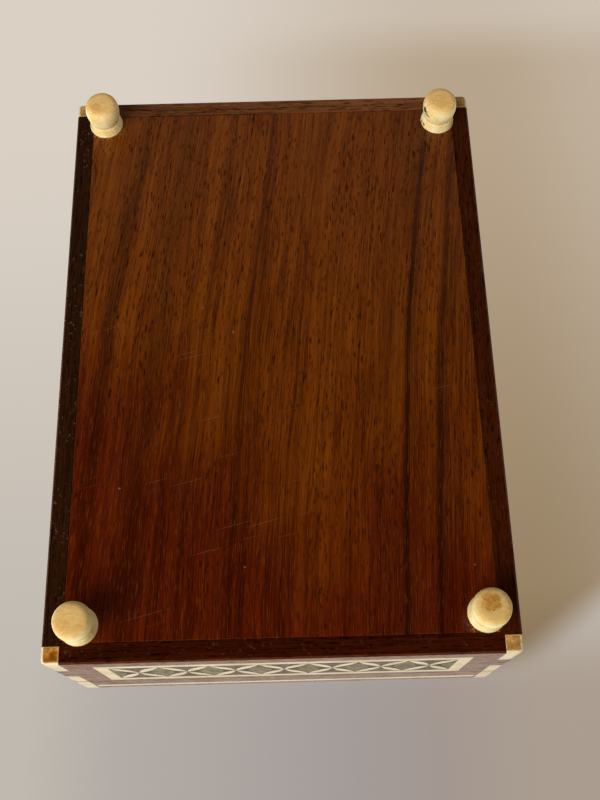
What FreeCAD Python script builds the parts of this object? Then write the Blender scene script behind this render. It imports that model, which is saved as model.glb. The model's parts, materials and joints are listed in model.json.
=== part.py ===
import FreeCAD, Part
import math
import os

# Small rosewood box with bone inlay. Millimetres, +Z up, the origin on the floor under the middle.
# X runs along the length, the front faces -Y and the hinges are at the back, +Y.

Vector = FreeCAD.Vector

# Carcase and lid boards, mitred at the corners
box_length = 141.0
box_width = 100.0
body_height = 31.0
lid_height = 13.7
seam_gap = 0.3
wall_thickness = 4.2
base_thickness = 3.6
lid_panel_thickness = 3.6
panel_clearance = 0.1
arris_chamfer = 0.4
corner_rounding = 1.2
cut_overrun = 2.0

# Bone blocks let into the corners
bone_backing = 0.5
bone_height = 10.5

# Turned bone feet, set by hand a little off their places
foot_height = 8.4
foot_inset = 7.5
foot_flat_radius = 1.9
foot_cap_radius = 4.1
foot_neck_radius = 3.6
foot_lip_radius = 3.75
foot_flange_radius = 4.15
foot_dome_steps = 3
cap_level_share = 0.34
neck_level_share = 0.7
lip_level_share = 0.75

# How far each foot is off its place along X and Y, as shares of the inset, in the order of the corners
foot_shift_shares = ((0.04, 0.0), (0.15, 0.0), (0.0, -0.07), (0.11, 0.07))

# Marquetry band, one on each wall and one on the lid
band_bottom_margin = 5.6
band_top_margin = 2.0
band_end_margin = 9.6
band_frame_width = 2.8
inlay_depth = 1.0
motif_pitch = 10.7
leaf_width = 2.3
leaf_outer_share = 0.6
eye_line_width = 0.4

# Bone lines of the lid
line_width = 2.6
line_top_margin = 3.2
line_end_gap = 0.5
border_width = 1.6
border_margin = 5.5

# Brass butt hinges, with their barrels in the groove of the stop bevels
hinge_end_distance = 30.0
hinge_length = 17.0
hinge_inset = 1.25
barrel_setback = 0.2
barrel_clearance = 0.25
knuckle_gap = 0.15
middle_knuckle_share = 0.36
leaf_thickness = 0.6
leaf_edge_margin = 0.2
pin_radius = 0.5
pin_clearance = 0.05
stop_bevel_angle = 51.0
nail_head_width = 0.9
nail_head_height = 0.25
nail_width = 0.5
nail_length = 3.0
nail_spacing = 10.0

# Levels and sizes that follow
base_level = foot_height
body_top = base_level + body_height
lid_bottom = body_top + seam_gap
lid_top = lid_bottom + lid_height
axis_level = body_top + seam_gap / 2
bone_width = wall_thickness - bone_backing
band_height = body_height - band_bottom_margin - band_top_margin
band_level = base_level + band_bottom_margin + band_height / 2
line_level = lid_top - line_top_margin - line_width / 2
barrel_radius = hinge_inset - barrel_setback
leaf_reach = wall_thickness - hinge_inset - leaf_edge_margin
square_angle = math.radians(90)
mitre_angle = square_angle / 2
diagonal_share = math.cos(mitre_angle)
match_tolerance = 1e-6

# Each side with its turn about Z from the back, in degrees
side_turns = {"back": 0, "left": 90, "front": 180, "right": 270}
long_sides = ("back", "front")
corner_signs = ((-1, -1), (1, -1), (1, 1), (-1, 1))
hinge_places = {
    "left": hinge_end_distance - box_length / 2,
    "right": box_length / 2 - hinge_end_distance,
}


# General shapes

def box_between(low, high):
    """Box from its lowest to its highest corner."""
    size = high - low
    return Part.makeBox(size.x, size.y, size.z, low)


def line(start, end):
    """Straight edge."""
    return Part.LineSegment(start, end).toShape()


def arc(start, middle, end):
    """Round edge through three points."""
    return Part.Arc(start, middle, end).toShape()


def prism(points, direction):
    """Straight-sided solid over a closed outline of corner points."""
    outline = Part.makePolygon(points + points[:1])
    return Part.Face(outline).extrude(direction)


def rod(x_low, x_high, radius, y, z):
    """Cylinder along X."""
    return Part.makeCylinder(radius, x_high - x_low, Vector(x_low, y, z), Vector(1, 0, 0))


def on_side(shape, side):
    """Copy of a shape made with its outer face on y = 0, put on one side of the box."""
    reach = box_width / 2 if side in long_sides else box_length / 2
    placed = shape.copy()
    placed.translate(Vector(0, reach, 0))
    placed.rotate(Vector(0, 0, 0), Vector(0, 0, 1), side_turns[side])
    return placed


def on_lid_top(shape):
    """Copy of a shape made with its outer face on y = 0, laid on the lid with that face up."""
    placed = shape.copy()
    placed.rotate(Vector(0, 0, 0), Vector(1, 0, 0), 90)
    placed.translate(Vector(0, 0, lid_top))
    return placed


def raised(shape, level):
    """Copy of a shape, moved up."""
    placed = shape.copy()
    placed.translate(Vector(0, 0, level))
    return placed


# Boards

def board_length(side):
    """Length of the wall and of the lid rail on one side."""
    return box_length if side in long_sides else box_width


def mitred_plan(length):
    """Plan of a board between its mitres, with the outer corners rounded."""
    end = length / 2
    inset = corner_rounding * (1 - diagonal_share)
    arc_angle = (mitre_angle + square_angle) / 2
    arc_x = end - corner_rounding * (1 - math.cos(arc_angle))
    arc_y = -corner_rounding * (1 - math.sin(arc_angle))
    inner_y = -wall_thickness
    inner_end = end - wall_thickness
    flat_end = end - corner_rounding
    edges = [
        line(Vector(-inner_end, inner_y, 0), Vector(inner_end, inner_y, 0)),
        line(Vector(inner_end, inner_y, 0), Vector(end - inset, -inset, 0)),
        arc(Vector(end - inset, -inset, 0), Vector(arc_x, arc_y, 0), Vector(flat_end, 0, 0)),
        line(Vector(flat_end, 0, 0), Vector(-flat_end, 0, 0)),
        arc(Vector(-flat_end, 0, 0), Vector(-arc_x, arc_y, 0), Vector(inset - end, -inset, 0)),
        line(Vector(inset - end, -inset, 0), Vector(-inner_end, inner_y, 0)),
    ]
    return Part.Face(Part.Wire(edges))


def mitred_board(length, edge_level, plain_level):
    """Board with its outer face on y = 0, the outer arris at edge_level broken, cut to its mitres."""
    rise = math.copysign(arris_chamfer, plain_level - edge_level)
    start = -length / 2
    section = [
        Vector(start, -wall_thickness, edge_level),
        Vector(start, -arris_chamfer, edge_level),
        Vector(start, 0, edge_level + rise),
        Vector(start, 0, plain_level),
        Vector(start, -wall_thickness, plain_level),
    ]
    bar = prism(section, Vector(length, 0, 0))
    low = min(edge_level, plain_level)
    height = abs(plain_level - edge_level)
    return bar.common(raised(mitred_plan(length).extrude(Vector(0, 0, height)), low))


def bone_notches(length, low, high):
    """What the corner blocks take out of both ends of a board."""
    end = length / 2
    notches = []
    for inner, outer in ((end - bone_width, end + cut_overrun), (-end - cut_overrun, bone_width - end)):
        notches.append(box_between(Vector(inner, -bone_width, low), Vector(outer, cut_overrun, high)))
    return Part.makeCompound(notches)


def stop_bevel(level):
    """Groove along the back edge of body and lid, which lets the lid lean back and stops it there."""
    half_height = hinge_inset * math.tan(math.radians(stop_bevel_angle))
    reach = box_width / 2
    overrun_share = 1 + cut_overrun / hinge_inset
    length = box_length + 2 * cut_overrun
    start = -length / 2
    points = [
        Vector(start, reach - hinge_inset, level),
        Vector(start, reach + cut_overrun, level - half_height * overrun_share),
        Vector(start, reach + cut_overrun, level + half_height * overrun_share),
    ]
    return prism(points, Vector(length, 0, 0))


def wall(side):
    """Wall board with its recesses for the band, the corner blocks and, at the back, the hinges."""
    length = board_length(side)
    board = mitred_board(length, base_level, body_top)
    board = board.cut(bone_notches(length, base_level - cut_overrun, base_level + bone_height))
    board = board.cut(bone_notches(length, body_top - bone_height, body_top + cut_overrun))
    board = board.cut(raised(inlay_block(band_length(side), band_height, cut_overrun), band_level))
    board = on_side(board, side)
    if side == "back":
        board = board.cut(stop_bevel(axis_level)).cut(hinge_mortises(-1)).cut(nail_group(-1))
    return board


def lid_rail(side):
    """Lid board with its recesses for the bone line, the corner blocks and, at the back, the hinges."""
    length = board_length(side)
    board = mitred_board(length, lid_top, lid_bottom)
    board = board.cut(bone_notches(length, lid_bottom - cut_overrun, lid_top + cut_overrun))
    board = board.cut(raised(inlay_block(line_length(side), line_width, cut_overrun), line_level))
    board = on_side(board, side)
    if side == "back":
        board = board.cut(stop_bevel(axis_level)).cut(hinge_mortises(1)).cut(nail_group(1))
    return board


def inner_panel(low, high):
    """Board let in between the walls or the lid rails."""
    half_length = box_length / 2 - wall_thickness - panel_clearance
    half_width = box_width / 2 - wall_thickness - panel_clearance
    return box_between(Vector(-half_length, -half_width, low), Vector(half_length, half_width, high))


def lid_panel():
    """Top board with recesses for its border line and its band."""
    panel = inner_panel(lid_top - lid_panel_thickness, lid_top)
    panel = panel.cut(on_lid_top(inlay_block(band_length("left"), band_height, cut_overrun)))
    border_recess = Part.makeCompound(frame_strips(*border_size(), border_width, cut_overrun))
    return panel.cut(on_lid_top(border_recess))


# Bone corner blocks

def corner_block(sign_x, sign_y, low, high):
    """Square block whose outer corner is rounded like the boards'."""
    end_x = sign_x * box_length / 2
    end_y = sign_y * box_width / 2
    in_x = end_x - sign_x * bone_width
    in_y = end_y - sign_y * bone_width
    round_x = end_x - sign_x * corner_rounding
    round_y = end_y - sign_y * corner_rounding
    inset = corner_rounding * (1 - diagonal_share)
    arc_middle = Vector(end_x - sign_x * inset, end_y - sign_y * inset, low)
    edges = [
        line(Vector(in_x, in_y, low), Vector(end_x, in_y, low)),
        line(Vector(end_x, in_y, low), Vector(end_x, round_y, low)),
        arc(Vector(end_x, round_y, low), arc_middle, Vector(round_x, end_y, low)),
        line(Vector(round_x, end_y, low), Vector(in_x, end_y, low)),
        line(Vector(in_x, end_y, low), Vector(in_x, in_y, low)),
    ]
    return Part.Face(Part.Wire(edges)).extrude(Vector(0, 0, high - low))


def broken_end(block, level):
    """Block with the outer arrises of its end face broken like the boards'."""
    chosen = []
    for edge in block.Edges:
        middle = edge.CenterOfMass
        at_end = all(abs(vertex.Z - level) < match_tolerance for vertex in edge.Vertexes)
        outside_x = abs(middle.x) > box_length / 2 - bone_width + match_tolerance
        outside_y = abs(middle.y) > box_width / 2 - bone_width + match_tolerance
        if at_end and outside_x and outside_y:
            chosen.append(edge)
    return block.makeChamfer(arris_chamfer, chosen)


def lower_corner_bones():
    """Blocks at the foot of the walls, seen as squares from below."""
    high = base_level + bone_height
    blocks = [corner_block(x, y, base_level, high) for x, y in corner_signs]
    return Part.makeCompound([broken_end(block, base_level) for block in blocks])


def upper_corner_bones():
    """Blocks at the top of the walls, under the seam."""
    low = body_top - bone_height
    blocks = [corner_block(x, y, low, body_top) for x, y in corner_signs]
    return Part.makeCompound([block.cut(stop_bevel(axis_level)) for block in blocks])


def lid_corner_bones():
    """Blocks over the whole height of the lid's corners."""
    blocks = [corner_block(x, y, lid_bottom, lid_top) for x, y in corner_signs]
    blocks = [broken_end(block, lid_top) for block in blocks]
    return Part.makeCompound([block.cut(stop_bevel(axis_level)) for block in blocks])


# Turned feet

def foot_places():
    """Centres of the feet, on the floor."""
    places = []
    for (x, y), (shift_x, shift_y) in zip(corner_signs, foot_shift_shares):
        corner = Vector(x * (box_length / 2 - foot_inset), y * (box_width / 2 - foot_inset), 0)
        places.append(corner + Vector(shift_x, shift_y, 0) * foot_inset)
    return places


def foot_outline():
    """Radius and level of the corners of a foot's outline, from the worn tip up to the base."""
    cap_level = foot_height * cap_level_share
    outline = [(foot_flat_radius, 0)]
    for step in range(foot_dome_steps):
        angle = square_angle * (step + 1) / foot_dome_steps
        radius = foot_flat_radius + (foot_cap_radius - foot_flat_radius) * math.sin(angle)
        outline.append((radius, cap_level * (1 - math.cos(angle))))
    outline.append((foot_neck_radius, foot_height * neck_level_share))
    outline.append((foot_lip_radius, foot_height * lip_level_share))
    outline.append((foot_flange_radius, foot_height))
    return outline


def foot():
    """Foot turned about Z: worn tip, domed cap, slight neck and flared flange, glued to the base."""
    corners = [(0, 0)] + foot_outline() + [(0, foot_height)]
    points = [Vector(radius, 0, level) for radius, level in corners]
    outline = Part.makePolygon(points + points[:1])
    return Part.Face(outline).revolve(Vector(0, 0, 0), Vector(0, 0, 1), 360)


def feet():
    """Four like feet."""
    turned = foot()
    copies = []
    for place in foot_places():
        copy = turned.copy()
        copy.translate(place)
        copies.append(copy)
    return Part.makeCompound(copies)


# Inlay, made about the middle of its field with the outer face on y = 0

def inlay_block(length, height, overrun=0):
    """Whole block of an inlay, or with an overrun the recess for it."""
    low = Vector(-length / 2, -inlay_depth, -height / 2)
    return box_between(low, Vector(length / 2, overrun, height / 2))


def frame_strips(length, height, width, overrun=0):
    """Four strips round a field: two over the whole length, two between them."""
    end = length / 2
    top = height / 2
    spans = (
        (-end, end, -top, width - top),
        (-end, end, top - width, top),
        (-end, width - end, width - top, top - width),
        (end - width, end, width - top, top - width),
    )
    strips = []
    for x_low, x_high, z_low, z_high in spans:
        strips.append(box_between(Vector(x_low, -inlay_depth, z_low), Vector(x_high, overrun, z_high)))
    return strips


def band_length(side):
    """Length of the band on a wall, over its frame."""
    return board_length(side) - 2 * band_end_margin


def line_length(side):
    """Length of the bone line of a lid rail."""
    return board_length(side) - 2 * (bone_width + line_end_gap)


def border_size():
    """Length and width of the bone border of the lid's top, over its strips."""
    margin = wall_thickness + border_margin
    return box_length - 2 * margin, box_width - 2 * margin


def motif_layout(length):
    """Field inside the frame, the number of crossings in it and their pitch."""
    field_length = length - 2 * band_frame_width
    field_height = band_height - 2 * band_frame_width
    count = max(1, round(field_length / motif_pitch))
    return field_length, field_height, count, field_length / count


def leaf_corners(crossing, eye_tip):
    """Outer and inner corner of the sliver from a crossing to the tip of an eye, at its fullest."""
    along = (eye_tip - crossing).normalize()
    across = Vector(-along.z, 0, along.x)
    if across.z * along.z < 0:
        across = across * -1
    middle = (crossing + eye_tip) / 2
    outer = middle + across * (leaf_width * leaf_outer_share)
    inner = middle - across * (leaf_width * (1 - leaf_outer_share))
    return outer, inner


def half_eye(crossing, pitch, field_height, sign_x):
    """Corner points of the half eye on one side of a crossing, by name."""
    top = crossing + Vector(sign_x * pitch / 2, 0, field_height / 2)
    bottom = top - Vector(0, 0, field_height)
    top_outer, top_inner = leaf_corners(crossing, top)
    bottom_outer, bottom_inner = leaf_corners(crossing, bottom)
    gap = top - top_inner - Vector(sign_x * eye_line_width, 0, 0)
    waist = Vector(top.x - gap.x * field_height / 2 / gap.z, 0, 0)
    return {
        "top": top, "top_outer": top_outer, "top_inner": top_inner,
        "bottom": bottom, "bottom_outer": bottom_outer, "bottom_inner": bottom_inner,
        "waist": waist,
    }


def mosaic_tile(points):
    """One straight-sided piece of the mosaic, as deep as the inlay."""
    return prism(points, Vector(0, -inlay_depth, 0))


def diamond_corners(halves):
    """Corners of the diamond in an eye of two halves, or of half a diamond at the end of a band."""
    first = halves[0]
    return [first["top"], first["waist"], first["bottom"]] + [half["waist"] for half in halves[1:]]


def mosaic(length):
    """Pieces of the mosaic of a band: leaves, eye fields, triangles between the eyes, and diamonds."""
    field_length, field_height, count, pitch = motif_layout(length)
    tiles = {"leaves": [], "eye_fields": [], "triangles": [], "diamonds": []}
    halves = []
    for index in range(count):
        crossing = Vector((2 * index + 1) * pitch / 2 - field_length / 2, 0, 0)
        left = half_eye(crossing, pitch, field_height, -1)
        right = half_eye(crossing, pitch, field_height, 1)
        halves += [left, right]
        for half in (left, right):
            inside = ("top_inner", "top", "waist", "bottom", "bottom_inner")
            tiles["eye_fields"].append(mosaic_tile([crossing] + [half[name] for name in inside]))
            for end in ("top", "bottom"):
                leaf = [crossing, half[end + "_outer"], half[end], half[end + "_inner"]]
                tiles["leaves"].append(mosaic_tile(leaf))
        for end in ("top", "bottom"):
            outside = [left[end], left[end + "_outer"], crossing, right[end + "_outer"], right[end]]
            tiles["triangles"].append(mosaic_tile(outside))
    whole_eyes = [halves[first:first + 2] for first in range(1, len(halves) - 1, 2)]
    for eye in [halves[:1]] + whole_eyes + [halves[-1:]]:
        tiles["diamonds"].append(mosaic_tile(diamond_corners(eye)))
    return tiles


def band_pieces(length):
    """All kinds of piece of one band, by name."""
    pieces = {"frame": Part.makeCompound(frame_strips(length, band_height, band_frame_width))}
    for kind, tiles in mosaic(length).items():
        pieces[kind] = Part.makeCompound(tiles)
    return pieces


# Hinges

def knuckle_spans(place, half):
    """X spans of the knuckles of the body leaf (half -1) or of the lid leaf (half 1)."""
    end = hinge_length / 2
    inner = hinge_length * middle_knuckle_share / 2
    if half > 0:
        return [(place - inner, place + inner)]
    return [(place - end, place - inner - knuckle_gap), (place + inner + knuckle_gap, place + end)]


def hinge_axis_y():
    """Distance of the hinge axis from the middle of the box."""
    return box_width / 2 - hinge_inset


def leaf_plate(place, half, overrun=0):
    """Flat plate of a hinge leaf, or with an overrun the mortise for it."""
    seat = body_top if half < 0 else lid_bottom
    levels = sorted((seat + half * leaf_thickness, seat - half * overrun))
    low = Vector(place - hinge_length / 2, hinge_axis_y() - leaf_reach, levels[0])
    return box_between(low, Vector(place + hinge_length / 2, hinge_axis_y(), levels[1]))


def hinge_mortises(half):
    """What both hinges take out of the back wall (half -1) or the back lid rail (half 1)."""
    cuts = []
    groove_reach = hinge_length / 2 + barrel_clearance
    groove_radius = barrel_radius + barrel_clearance
    for place in hinge_places.values():
        groove = rod(place - groove_reach, place + groove_reach, groove_radius, hinge_axis_y(), axis_level)
        cuts += [leaf_plate(place, half, cut_overrun), groove]
    return Part.makeCompound(cuts)


def hinge_leaf(place, half):
    """Plate with its knuckles, cut clear of the other leaf's knuckles and bored for the pin."""
    solid = leaf_plate(place, half)
    clear_radius = barrel_radius + barrel_clearance
    for x_low, x_high in knuckle_spans(place, half):
        solid = solid.fuse(rod(x_low, x_high, barrel_radius, hinge_axis_y(), axis_level))
    for x_low, x_high in knuckle_spans(place, -half):
        clear = rod(x_low - knuckle_gap, x_high + knuckle_gap, clear_radius, hinge_axis_y(), axis_level)
        solid = solid.cut(clear)
    end = hinge_length / 2 + cut_overrun
    solid = solid.cut(rod(place - end, place + end, pin_radius + pin_clearance, hinge_axis_y(), axis_level))
    return solid.cut(nail_group(half)).removeSplitter()


def hinge_pin(place):
    """Pin through all the knuckles of one hinge."""
    end = hinge_length / 2
    return rod(place - end, place + end, pin_radius, hinge_axis_y(), axis_level)


def square_bar(middle, width, length):
    """Upright square bar from a point, upwards or, with a negative length, downwards."""
    half_width = width / 2
    low = Vector(middle.x - half_width, middle.y - half_width, min(middle.z, middle.z + length))
    return box_between(low, low + Vector(width, width, abs(length)))


def nail(x, half):
    """Cut nail with a square head sunk flush into a leaf, driven away from the seam."""
    seat = body_top if half < 0 else lid_bottom
    flat_start = barrel_radius + barrel_clearance
    middle = Vector(x, hinge_axis_y() - (flat_start + leaf_reach) / 2, seat)
    head = square_bar(middle, nail_head_width, half * nail_head_height)
    return head.fuse(square_bar(middle, nail_width, half * nail_length)).removeSplitter()


def nail_group(half):
    """All nails of the body leaves (half -1) or of the lid leaves (half 1)."""
    nails = []
    for place in hinge_places.values():
        for sign in (-1, 1):
            nails.append(nail(place + sign * nail_spacing / 2, half))
    return Part.makeCompound(nails)


# Assembly

def make_parts():
    """Every piece of the box, by name."""
    parts = {
        "base_panel": inner_panel(base_level, base_level + base_thickness),
        "lid_panel": lid_panel(),
        "feet": feet(),
        "lower_corner_bones": lower_corner_bones(),
        "upper_corner_bones": upper_corner_bones(),
        "lid_corner_bones": lid_corner_bones(),
        "body_leaf_nails": nail_group(-1),
        "lid_leaf_nails": nail_group(1),
    }
    for side in side_turns:
        parts[side + "_wall"] = wall(side)
        parts["lid_" + side + "_rail"] = lid_rail(side)
        bone_line = raised(inlay_block(line_length(side), line_width), line_level)
        parts["lid_" + side + "_line"] = on_side(bone_line, side)
        for kind, piece in band_pieces(band_length(side)).items():
            parts[side + "_band_" + kind] = on_side(raised(piece, band_level), side)
    parts["lid_top_border"] = on_lid_top(Part.makeCompound(frame_strips(*border_size(), border_width)))
    for kind, piece in band_pieces(band_length("left")).items():
        parts["lid_top_band_" + kind] = on_lid_top(piece)
    for name, place in hinge_places.items():
        parts[name + "_hinge_body_leaf"] = hinge_leaf(place, -1)
        parts[name + "_hinge_lid_leaf"] = hinge_leaf(place, 1)
        parts[name + "_hinge_pin"] = hinge_pin(place)
    return parts


os.makedirs("parts", exist_ok=True)
for part_name, part_shape in make_parts().items():
    part_shape.exportStep("parts/" + part_name + ".step")
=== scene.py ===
import json
import math

import bmesh
import bpy
from mathutils import Matrix, Vector
from mathutils.geometry import tessellate_polygon

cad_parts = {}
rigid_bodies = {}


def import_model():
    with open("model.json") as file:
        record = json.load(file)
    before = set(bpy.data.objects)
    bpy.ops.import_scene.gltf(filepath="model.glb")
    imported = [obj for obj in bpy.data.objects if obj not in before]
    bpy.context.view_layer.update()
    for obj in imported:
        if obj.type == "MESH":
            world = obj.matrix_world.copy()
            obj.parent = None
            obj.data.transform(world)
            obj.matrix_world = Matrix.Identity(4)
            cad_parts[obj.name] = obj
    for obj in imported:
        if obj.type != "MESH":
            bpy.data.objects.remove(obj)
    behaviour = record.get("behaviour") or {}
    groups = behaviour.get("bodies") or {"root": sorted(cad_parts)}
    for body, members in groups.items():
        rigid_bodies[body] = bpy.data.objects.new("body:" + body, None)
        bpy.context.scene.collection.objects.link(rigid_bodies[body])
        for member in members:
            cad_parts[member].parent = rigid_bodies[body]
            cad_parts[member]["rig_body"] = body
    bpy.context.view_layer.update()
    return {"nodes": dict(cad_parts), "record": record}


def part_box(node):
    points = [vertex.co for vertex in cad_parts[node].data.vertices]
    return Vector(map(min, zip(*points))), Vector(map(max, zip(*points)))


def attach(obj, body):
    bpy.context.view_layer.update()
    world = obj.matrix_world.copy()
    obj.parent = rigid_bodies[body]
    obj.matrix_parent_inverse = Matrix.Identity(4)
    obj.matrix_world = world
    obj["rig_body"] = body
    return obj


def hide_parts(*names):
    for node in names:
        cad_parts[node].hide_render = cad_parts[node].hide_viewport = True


# Small rosewood box with bone inlay, seen from below as it lies on its lid.
# Metres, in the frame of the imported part: +Z up, X along the length, the hinges at the back, +Y.

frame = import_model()
nodes = frame["nodes"]
MM = 0.001


# Shader nodes

# Sockets of a mix node for colours
MIX_FIRST = 6
MIX_SECOND = 7
MIX_RESULT = 2


class Shader:
    """Adds the nodes of one material or world. Places are in millimetres, in the frame of the part."""

    def __init__(self, owner):
        self.owner = owner
        self.owner.use_nodes = True
        self.tree = self.owner.node_tree
        self.tree.nodes.clear()

    def plug(self, socket, value):
        if isinstance(value, bpy.types.NodeSocket):
            self.tree.links.new(value, socket)
        else:
            socket.default_value = value

    def node(self, kind, inputs, **settings):
        made = self.tree.nodes.new("ShaderNode" + kind)
        for name, value in settings.items():
            setattr(made, name, value)
        for name, value in inputs.items():
            self.plug(made.inputs[name], value)
        return made

    def math(self, operation, *values):
        made = self.tree.nodes.new("ShaderNodeMath")
        made.operation = operation
        for socket, value in zip(made.inputs, values):
            self.plug(socket, value)
        return made.outputs[0]

    def add(self, *values):
        total = values[0]
        for value in values[1:]:
            total = self.math("ADD", total, value)
        return total

    def times(self, *values):
        product = values[0]
        for value in values[1:]:
            product = self.math("MULTIPLY", product, value)
        return product

    def one_minus(self, value):
        return self.math("SUBTRACT", 1.0, value)

    def place(self):
        """Place on the part, as three sockets in millimetres."""
        coordinates = self.node("TexCoord", {}).outputs["Object"]
        scaled = self.node("VectorMath", {0: coordinates, 3: 1 / MM}, operation="SCALE").outputs[0]
        return tuple(self.node("SeparateXYZ", {0: scaled}).outputs)

    def vector(self, x, y, z):
        return self.node("CombineXYZ", {0: x, 1: y, 2: z}).outputs[0]

    def scaled(self, scale, *values):
        """Vector of three values times one scale."""
        return self.vector(*[self.times(value, scale) for value in values])

    def noise(self, vector, detail=2.0, roughness=0.5):
        inputs = {"Vector": vector, "Scale": 1.0, "Detail": detail, "Roughness": roughness}
        return self.node("TexNoise", inputs).outputs["Fac"]

    def cells(self, vector):
        """Distance to the nearest of many scattered points, and a random number of that point."""
        made = self.node("TexVoronoi", {"Vector": vector, "Scale": 1.0})
        chance = self.node("SeparateColor", {0: made.outputs["Color"]}).outputs[0]
        return made.outputs["Distance"], chance

    def rise(self, value, low, high):
        """0 below low, 1 above high, smooth between; falls where low is above high."""
        inputs = {"Value": value, "From Min": low, "From Max": high}
        return self.node("MapRange", inputs, interpolation_type="SMOOTHSTEP").outputs[0]

    def ramp(self, value, *stops):
        made = self.node("ValToRGB", {0: value})
        elements = made.color_ramp.elements
        while len(elements) < len(stops):
            elements.new(1.0)
        for element, (position, colour) in zip(elements, stops):
            element.position = position
            element.color = (*colour, 1.0)
        return made.outputs[0]

    def mix(self, factor, first, second, blend="MIX"):
        made = self.node("Mix", {0: factor}, data_type="RGBA", blend_type=blend)
        for socket, colour in ((made.inputs[MIX_FIRST], first), (made.inputs[MIX_SECOND], second)):
            self.plug(socket, colour if isinstance(colour, bpy.types.NodeSocket) else (*colour, 1.0))
        return made.outputs[MIX_RESULT]

    def local_normal(self):
        """The flat side's direction in the frame of the part, as three sockets."""
        normal = self.node("NewGeometry", {}).outputs["True Normal"]
        settings = {"vector_type": "NORMAL", "convert_from": "WORLD", "convert_to": "OBJECT"}
        local = self.node("VectorTransform", {0: normal}, **settings).outputs[0]
        return tuple(self.node("SeparateXYZ", {0: local}).outputs)

    def edges(self):
        """1 on the rounded edges between flat sides, 0 on the sides."""
        x, y, z = [self.math("ABSOLUTE", value) for value in self.local_normal()]
        return self.rise(self.math("MAXIMUM", self.math("MAXIMUM", x, y), z), 0.97, 0.9)

    def bump(self, height, depth):
        """Normal from a height between 0 and 1 that stands for a depth in millimetres."""
        return self.node("Bump", {"Height": height, "Distance": depth * MM}).outputs[0]

    def surface(self, **inputs):
        """Ends the material with a principled shader."""
        named = {}
        for key, value in inputs.items():
            named[key.replace("_", " ").title().replace("Ior", "IOR")] = value
        shader = self.node("BsdfPrincipled", named)
        output = self.node("OutputMaterial", {})
        self.tree.links.new(shader.outputs[0], output.inputs[0])
        return self.owner


# Wood: polished outside, left dull underneath

UNDER_ROUGHNESS = 0.15
WOOD_SHEEN = (1.0, 0.82, 0.70)
WOOD_RELIEF = 0.04
NICK_COLOUR = (0.34, 0.20, 0.10)
SCRATCH_COLOUR = (0.30, 0.16, 0.06)
SCUFF_COLOUR = (0.14, 0.09, 0.05)
GLUE_COLOUR = (0.36, 0.17, 0.05)
PORE_SHADE = 0.3
GRAIN_SWAY = 3.0
VEIN_RAGGED = 1.6
PORE_LENGTH = 3.3
PORE_SPACING = 0.6
SCRATCH_SLANT = 0.25
# Raggedness of the edge of the painted shade at one end of the wood
SHADED_END_RAGGED = 70.0
GLUE_REACH = 5.6
GLUE_FULL = 4.3


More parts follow.
